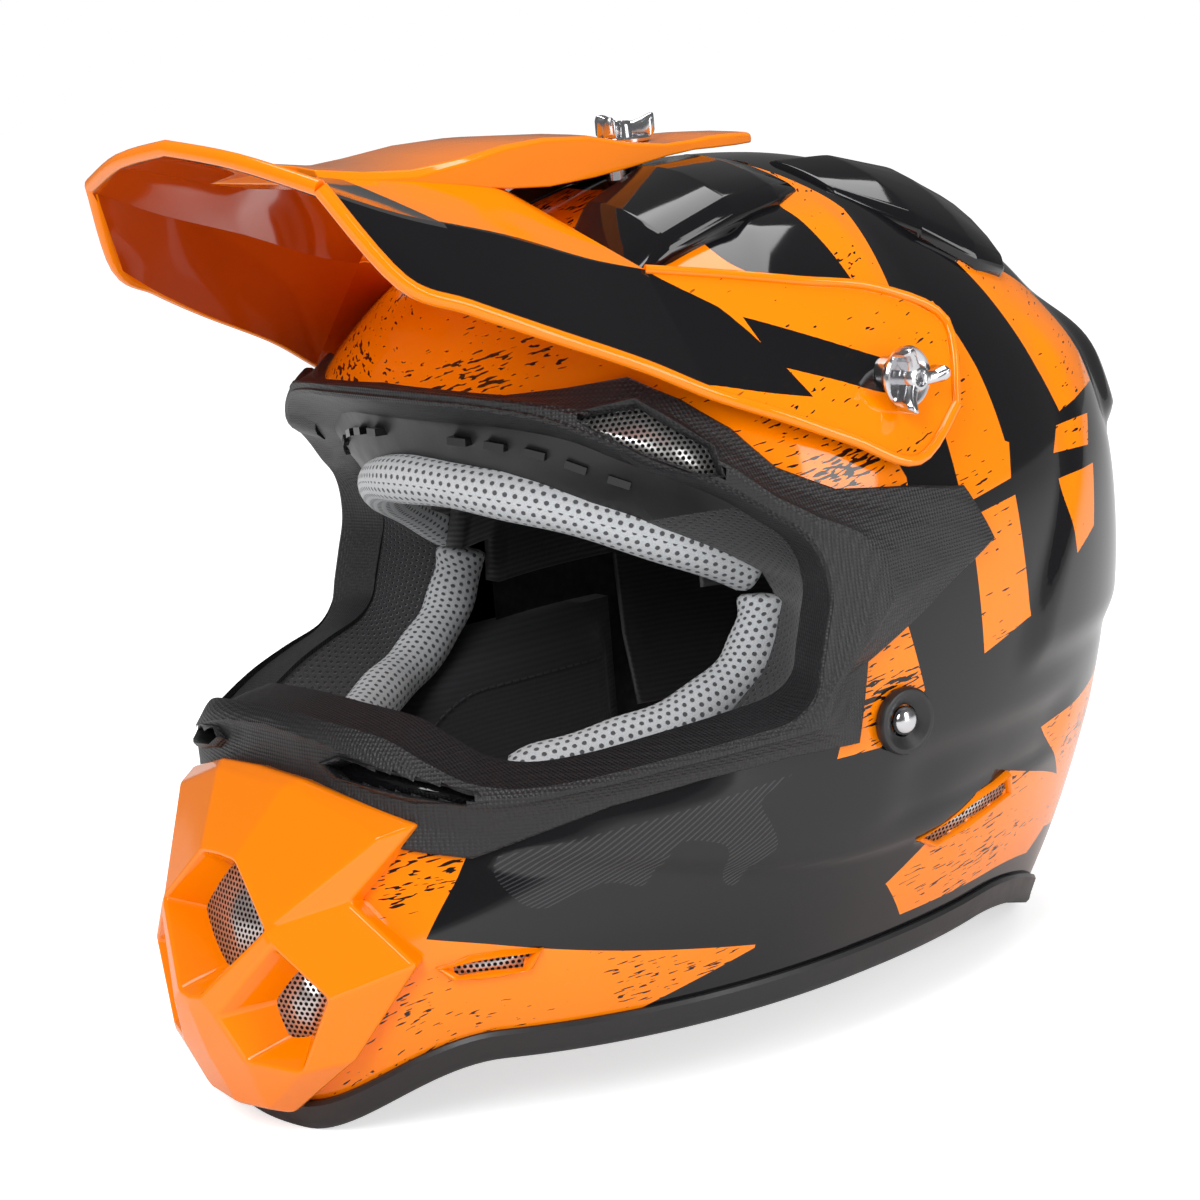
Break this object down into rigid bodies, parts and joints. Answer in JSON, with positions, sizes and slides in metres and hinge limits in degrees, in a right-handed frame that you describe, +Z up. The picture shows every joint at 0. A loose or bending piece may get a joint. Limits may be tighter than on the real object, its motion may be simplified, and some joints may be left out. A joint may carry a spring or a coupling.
{
  "type": "motocross helmet",
  "caption": "Full-face off-road helmet with a tilting peak on thumb screws, open eyeport, vented chin bar, padded liner and a double D-ring strap.",
  "frame": {"origin": "middle of the head opening, on the table the helmet stands on", "axes": "+X to the wearer's left, +Y to the back of the head, +Z up through the crown"},
  "size_m": [0.257, 0.3432, 0.293],
  "materials": {
    "shell_orange": "gloss lacquer over fibre shell",
    "cover_orange": "gloss moulded plastic",
    "black_plastic": "gloss black",
    "black_rubber": "grained",
    "foam": "expanded bead foam",
    "dark_cloth": "padded knitted cloth",
    "pale_cloth": "perforated spacer mesh",
    "wire_mesh": "expanded mesh",
    "bright_metal": "polished",
    "insert_metal": "turned",
    "steel": "satin",
    "webbing": "woven"
  },
  "bodies": {
    "helmet": {"outer_shell": "shell_orange", "impact_liner": "foam", "chin_bar_foam": "foam", "crown_liner": "dark_cloth", "brow_pad": "pale_cloth", "cheek_pad_left": "dark_cloth", "cheek_pad_right": "dark_cloth", "cheek_roll_left": "pale_cloth", "cheek_roll_right": "pale_cloth", "neck_roll": "dark_cloth", "eyeport_trim": "black_rubber", "bottom_rim": "black_rubber", "chin_cover": "cover_orange", "chin_cover_mesh": "wire_mesh", "brow_mesh_left": "wire_mesh", "brow_mesh_right": "wire_mesh", "chin_side_mesh_left": "wire_mesh", "chin_side_mesh_right": "wire_mesh", "rear_mesh_left": "wire_mesh", "rear_mesh_right": "wire_mesh", "intake_scoop_left": "black_plastic", "intake_scoop_right": "black_plastic", "exhaust_cover_left": "black_plastic", "exhaust_cover_right": "black_plastic", "insert_left": "insert_metal", "insert_right": "insert_metal", "insert_top": "insert_metal", "strap_ring_left": "black_plastic", "strap_ring_right": "black_plastic", "strap_rivet_left": "steel", "strap_rivet_right": "steel", "chin_strap_left": "webbing", "chin_strap_right": "webbing", "strap_snap": "black_plastic"},
    "peak": {"peak": "cover_orange"},
    "side_screw_left": {"peak_screw_left": "bright_metal"},
    "side_screw_right": {"peak_screw_right": "bright_metal"},
    "top_screw": {"peak_screw_top": "bright_metal"},
    "inner_d_ring": {"d_ring_inner": "steel"},
    "outer_d_ring": {"d_ring_outer": "steel"}
  },
  "joints": [
    {"name": "peak_tilt", "type": "hinge", "parent": "helmet", "child": "peak", "pos_m": [0, -0.011, 0.208], "axis": [-1, 0, 0], "range_deg": [-6, 2]},
    {"name": "left_screw_turn", "type": "hinge", "parent": "helmet", "child": "side_screw_left", "pos_m": [0.116, -0.011, 0.208], "axis": [1, 0, 0], "continuous": true},
    {"name": "right_screw_turn", "type": "hinge", "parent": "helmet", "child": "side_screw_right", "pos_m": [-0.116, -0.011, 0.208], "axis": [-1, 0, 0], "continuous": true},
    {"name": "top_screw_turn", "type": "hinge", "parent": "helmet", "child": "top_screw", "pos_m": [0, -0.011, 0.274], "axis": [0, 0, 1], "continuous": true},
    {"name": "outer_d_ring_swing", "type": "hinge", "parent": "helmet", "child": "outer_d_ring", "pos_m": [-0.0835, -0.02342, 0.0205], "axis": [0, 1, 0], "range_deg": [-40, 40]},
    {"name": "inner_d_ring_swing", "type": "hinge", "parent": "helmet", "child": "inner_d_ring", "pos_m": [-0.078, -0.02342, 0.0205], "axis": [0, 1, 0], "range_deg": [-40, 40]}
  ],
  "couplings": [
    {"joint": "inner_d_ring_swing", "follows": "outer_d_ring_swing", "ratio": 1}
  ]
}
